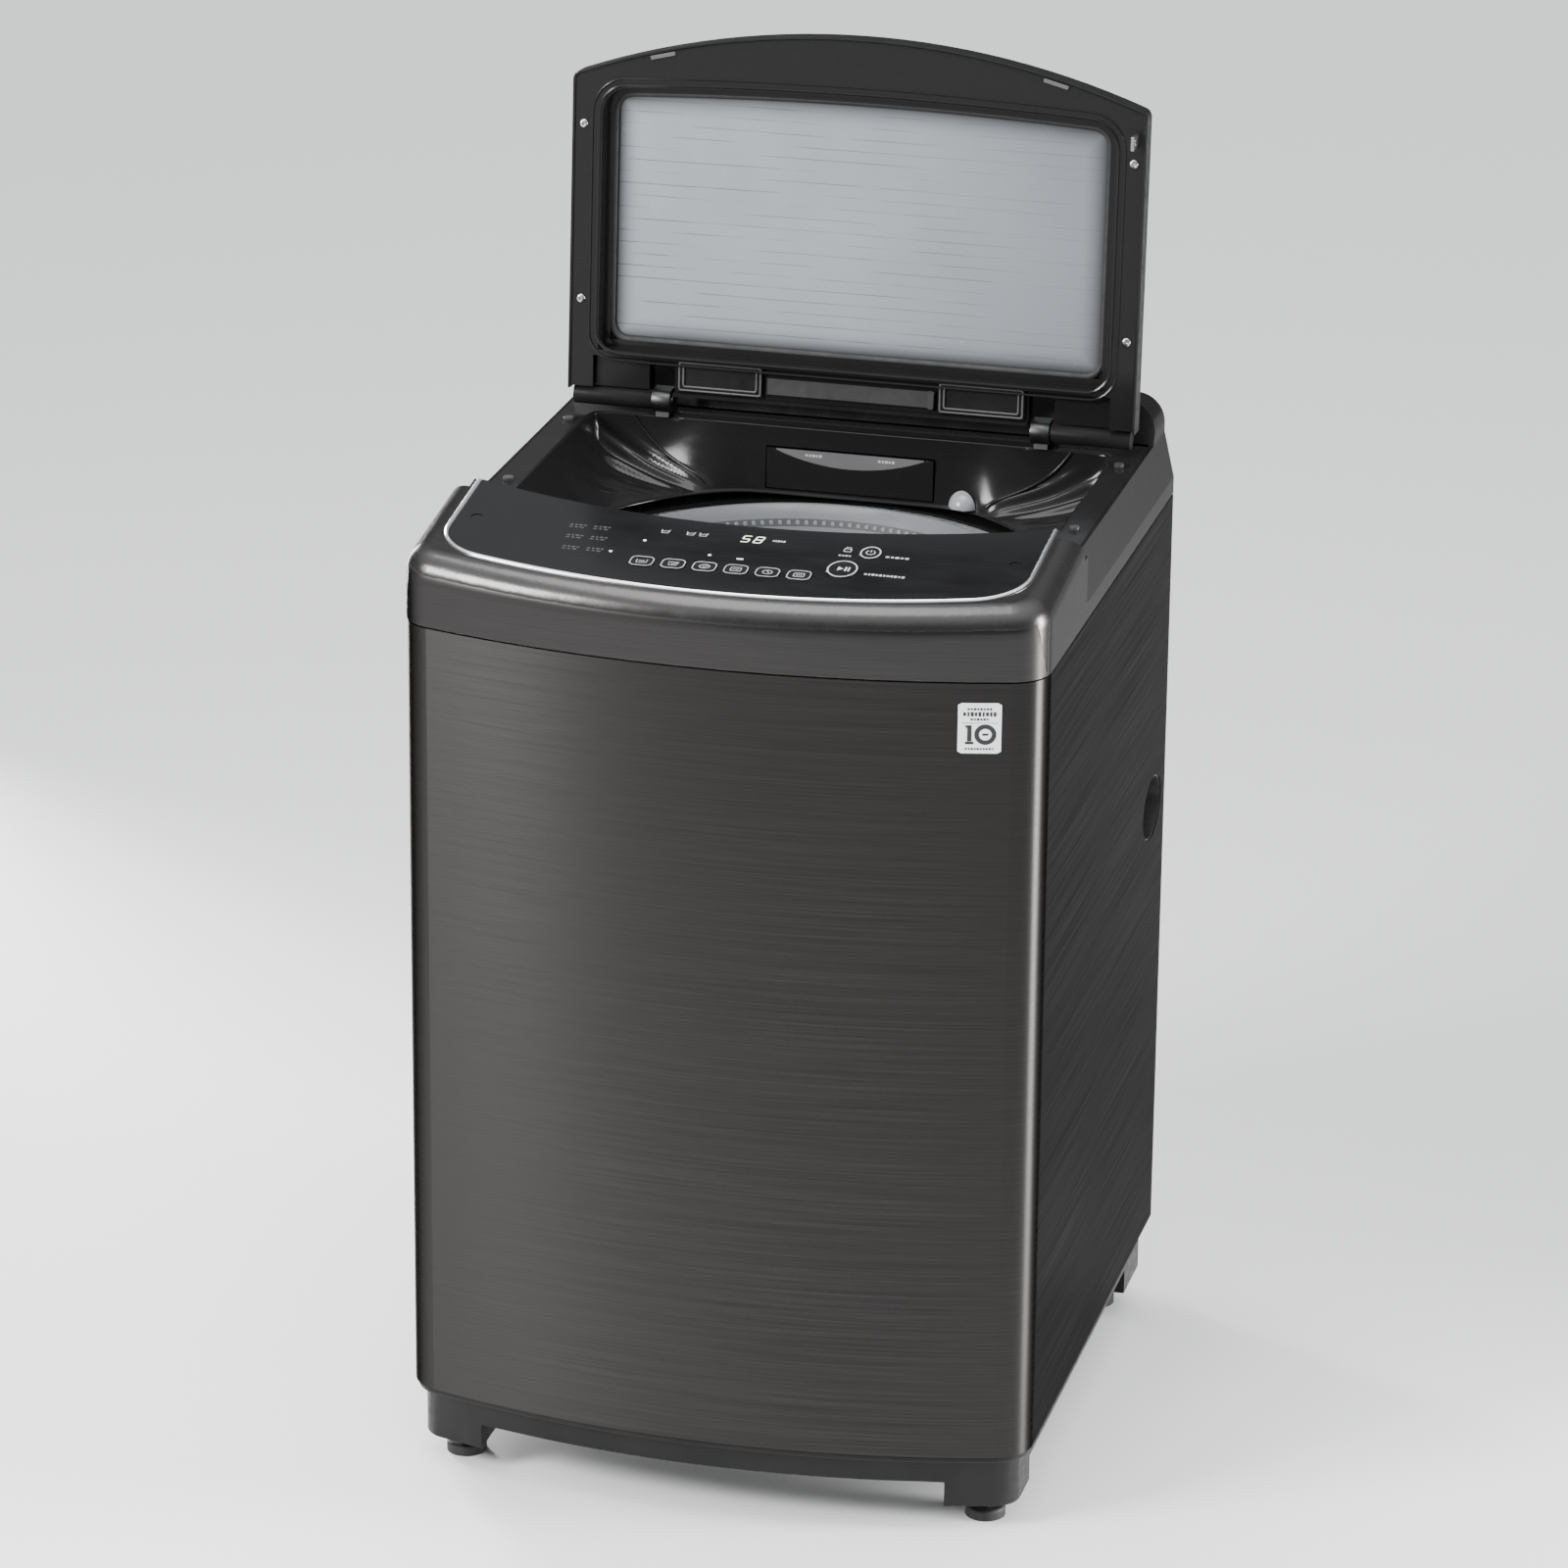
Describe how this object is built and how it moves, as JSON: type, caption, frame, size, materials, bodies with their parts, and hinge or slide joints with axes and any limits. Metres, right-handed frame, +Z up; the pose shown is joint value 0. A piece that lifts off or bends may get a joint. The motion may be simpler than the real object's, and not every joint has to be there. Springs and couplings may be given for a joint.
{
  "type": "top load washing machine",
  "caption": "Top load washing machine with a bowed dark steel cabinet, glass lid standing open on rear hinges, front control strip, drawer and perforated basket.",
  "frame": {"origin": "on the floor under the middle of the machine", "axes": "+Z up, the front faces -Y, +X to the viewer's right when facing the front"},
  "size_m": [0.632, 0.66, 1.357],
  "materials": {
    "cabinet_steel": "brushed look, satin",
    "rear_steel": "zinc grey satin",
    "screw_steel": "zinc plated",
    "dark_plastic": "fine grain",
    "foot_rubber": "matt",
    "cover_plastic": "metallic paint",
    "chrome": "polished",
    "panel_gloss": "high gloss",
    "key_gloss": "gloss",
    "board": "circuit board",
    "deck_gloss": "gloss",
    "nozzle_grey": "satin grey",
    "lid_glass": "mirror-coated tempered glass",
    "hinge_metal": "satin",
    "tub_plastic": "natural polypropylene",
    "basket_steel": "bright annealed",
    "ring_plastic": "satin light grey",
    "pulsator_plastic": "satin grey",
    "cast_alloy": "as cast",
    "shaft_steel": "ground",
    "water_plastic": "natural",
    "hose_grey": "corrugated"
  },
  "bodies": {
    "cabinet": {"cabinet_wrap": "cabinet_steel", "handle_cups": "dark_plastic", "rear_panel": "rear_steel", "rear_screws": "screw_steel", "cord_gland": "dark_plastic", "base_frame": "dark_plastic", "top_cover": "cover_plastic", "chrome_trim": "chrome", "control_panel": "panel_gloss", "display_window": "panel_gloss", "panel_screw_caps": "panel_gloss", "control_board": "board", "deck_frame": "deck_gloss", "rail_bumpers": "foot_rubber", "lid_lock": "deck_gloss", "detergent_housing": "dark_plastic", "water_nozzle": "nozzle_grey", "hinge_brackets": "hinge_metal", "drain_outlet": "water_plastic", "suspension_rods": "shaft_steel", "suspension_springs": "shaft_steel", "inlet_valves": "water_plastic", "pressure_switch": "dark_plastic"},
    "lid": {"lid_outer": "deck_gloss", "lid_inner_frame": "deck_gloss", "hinge_covers": "dark_plastic", "lid_gasket": "foot_rubber", "lid_glass": "lid_glass", "lid_screws": "screw_steel", "lid_striker": "hinge_metal", "lid_hinge_barrels": "deck_gloss"},
    "drawer": {"detergent_drawer": "deck_gloss"},
    "tub": {"outer_tub": "tub_plastic", "tub_cover": "dark_plastic", "bearing_housing": "cast_alloy", "bearings_and_seal": "shaft_steel", "motor_stator": "shaft_steel", "drain_valve": "water_plastic", "drain_hose": "hose_grey"},
    "basket_group": {"basket": "basket_steel", "balance_ring": "ring_plastic", "basket_hub": "cast_alloy", "lint_filters": "ring_plastic", "spin_shaft": "shaft_steel"},
    "pulsator_group": {"pulsator": "pulsator_plastic", "pulsator_cap": "pulsator_plastic", "wash_shaft": "shaft_steel", "motor_rotor": "shaft_steel"},
    "option_key_1": {"option_key_1": "key_gloss"},
    "option_key_2": {"option_key_2": "key_gloss"},
    "option_key_3": {"option_key_3": "key_gloss"},
    "option_key_4": {"option_key_4": "key_gloss"},
    "option_key_5": {"option_key_5": "key_gloss"},
    "option_key_6": {"option_key_6": "key_gloss"},
    "start_key": {"start_key": "key_gloss"},
    "power_key": {"power_key": "key_gloss"},
    "foot_front_left": {"foot_front_left": "foot_rubber"},
    "foot_front_right": {"foot_front_right": "foot_rubber"},
    "foot_rear_left": {"foot_rear_left": "foot_rubber"},
    "foot_rear_right": {"foot_rear_right": "foot_rubber"}
  },
  "joints": [
    {"name": "lid_hinge", "type": "hinge", "parent": "cabinet", "child": "lid", "pos_m": [0, 0.23, 0.97], "axis": [1, 0, 0], "range_deg": [0, 94]},
    {"name": "drawer_slide", "type": "slide", "parent": "cabinet", "child": "drawer", "axis": [0, -1, 0], "range_m": [0, 0.07]},
    {"name": "tub_float", "type": "slide", "parent": "cabinet", "child": "tub", "axis": [0, 0, 1], "range_m": [-0.015, 0.004], "stiffness_N_per_m": 9000, "springref_m": 0.03408, "deforming": ["suspension_springs"]},
    {"name": "basket_spin", "type": "hinge", "parent": "tub", "child": "basket_group", "pos_m": [0, 0, 0.5], "axis": [0, 0, 1], "continuous": true},
    {"name": "pulsator_spin", "type": "hinge", "parent": "tub", "child": "pulsator_group", "pos_m": [0, 0, 0.3], "axis": [0, 0, 1], "continuous": true},
    {"name": "option_press_1", "type": "slide", "parent": "cabinet", "child": "option_key_1", "axis": [0, 0.1425, -0.9898], "range_m": [0, 0.001], "stiffness_N_per_m": 900, "springref_m": -0.0006},
    {"name": "option_press_2", "type": "slide", "parent": "cabinet", "child": "option_key_2", "axis": [0, 0.1425, -0.9898], "range_m": [0, 0.001], "stiffness_N_per_m": 900, "springref_m": -0.0006},
    {"name": "option_press_3", "type": "slide", "parent": "cabinet", "child": "option_key_3", "axis": [0, 0.1425, -0.9898], "range_m": [0, 0.001], "stiffness_N_per_m": 900, "springref_m": -0.0006},
    {"name": "option_press_4", "type": "slide", "parent": "cabinet", "child": "option_key_4", "axis": [0, 0.1425, -0.9898], "range_m": [0, 0.001], "stiffness_N_per_m": 900, "springref_m": -0.0006},
    {"name": "option_press_5", "type": "slide", "parent": "cabinet", "child": "option_key_5", "axis": [0, 0.1425, -0.9898], "range_m": [0, 0.001], "stiffness_N_per_m": 900, "springref_m": -0.0006},
    {"name": "option_press_6", "type": "slide", "parent": "cabinet", "child": "option_key_6", "axis": [0, 0.1425, -0.9898], "range_m": [0, 0.001], "stiffness_N_per_m": 900, "springref_m": -0.0006},
    {"name": "start_press", "type": "slide", "parent": "cabinet", "child": "start_key", "axis": [0, 0.1425, -0.9898], "range_m": [0, 0.001], "stiffness_N_per_m": 900, "springref_m": -0.0006},
    {"name": "power_press", "type": "slide", "parent": "cabinet", "child": "power_key", "axis": [0, 0.1425, -0.9898], "range_m": [0, 0.001], "stiffness_N_per_m": 900, "springref_m": -0.0006},
    {"name": "foot_turn_front_left", "type": "hinge", "parent": "cabinet", "child": "foot_front_left", "pos_m": [-0.268, -0.242, 0], "axis": [0, 0, 1], "continuous": true},
    {"name": "foot_turn_front_right", "type": "hinge", "parent": "cabinet", "child": "foot_front_right", "pos_m": [0.268, -0.242, 0], "axis": [0, 0, 1], "continuous": true},
    {"name": "foot_turn_rear_left", "type": "hinge", "parent": "cabinet", "child": "foot_rear_left", "pos_m": [-0.268, 0.276, 0], "axis": [0, 0, 1], "continuous": true},
    {"name": "foot_turn_rear_right", "type": "hinge", "parent": "cabinet", "child": "foot_rear_right", "pos_m": [0.268, 0.276, 0], "axis": [0, 0, 1], "continuous": true}
  ]
}
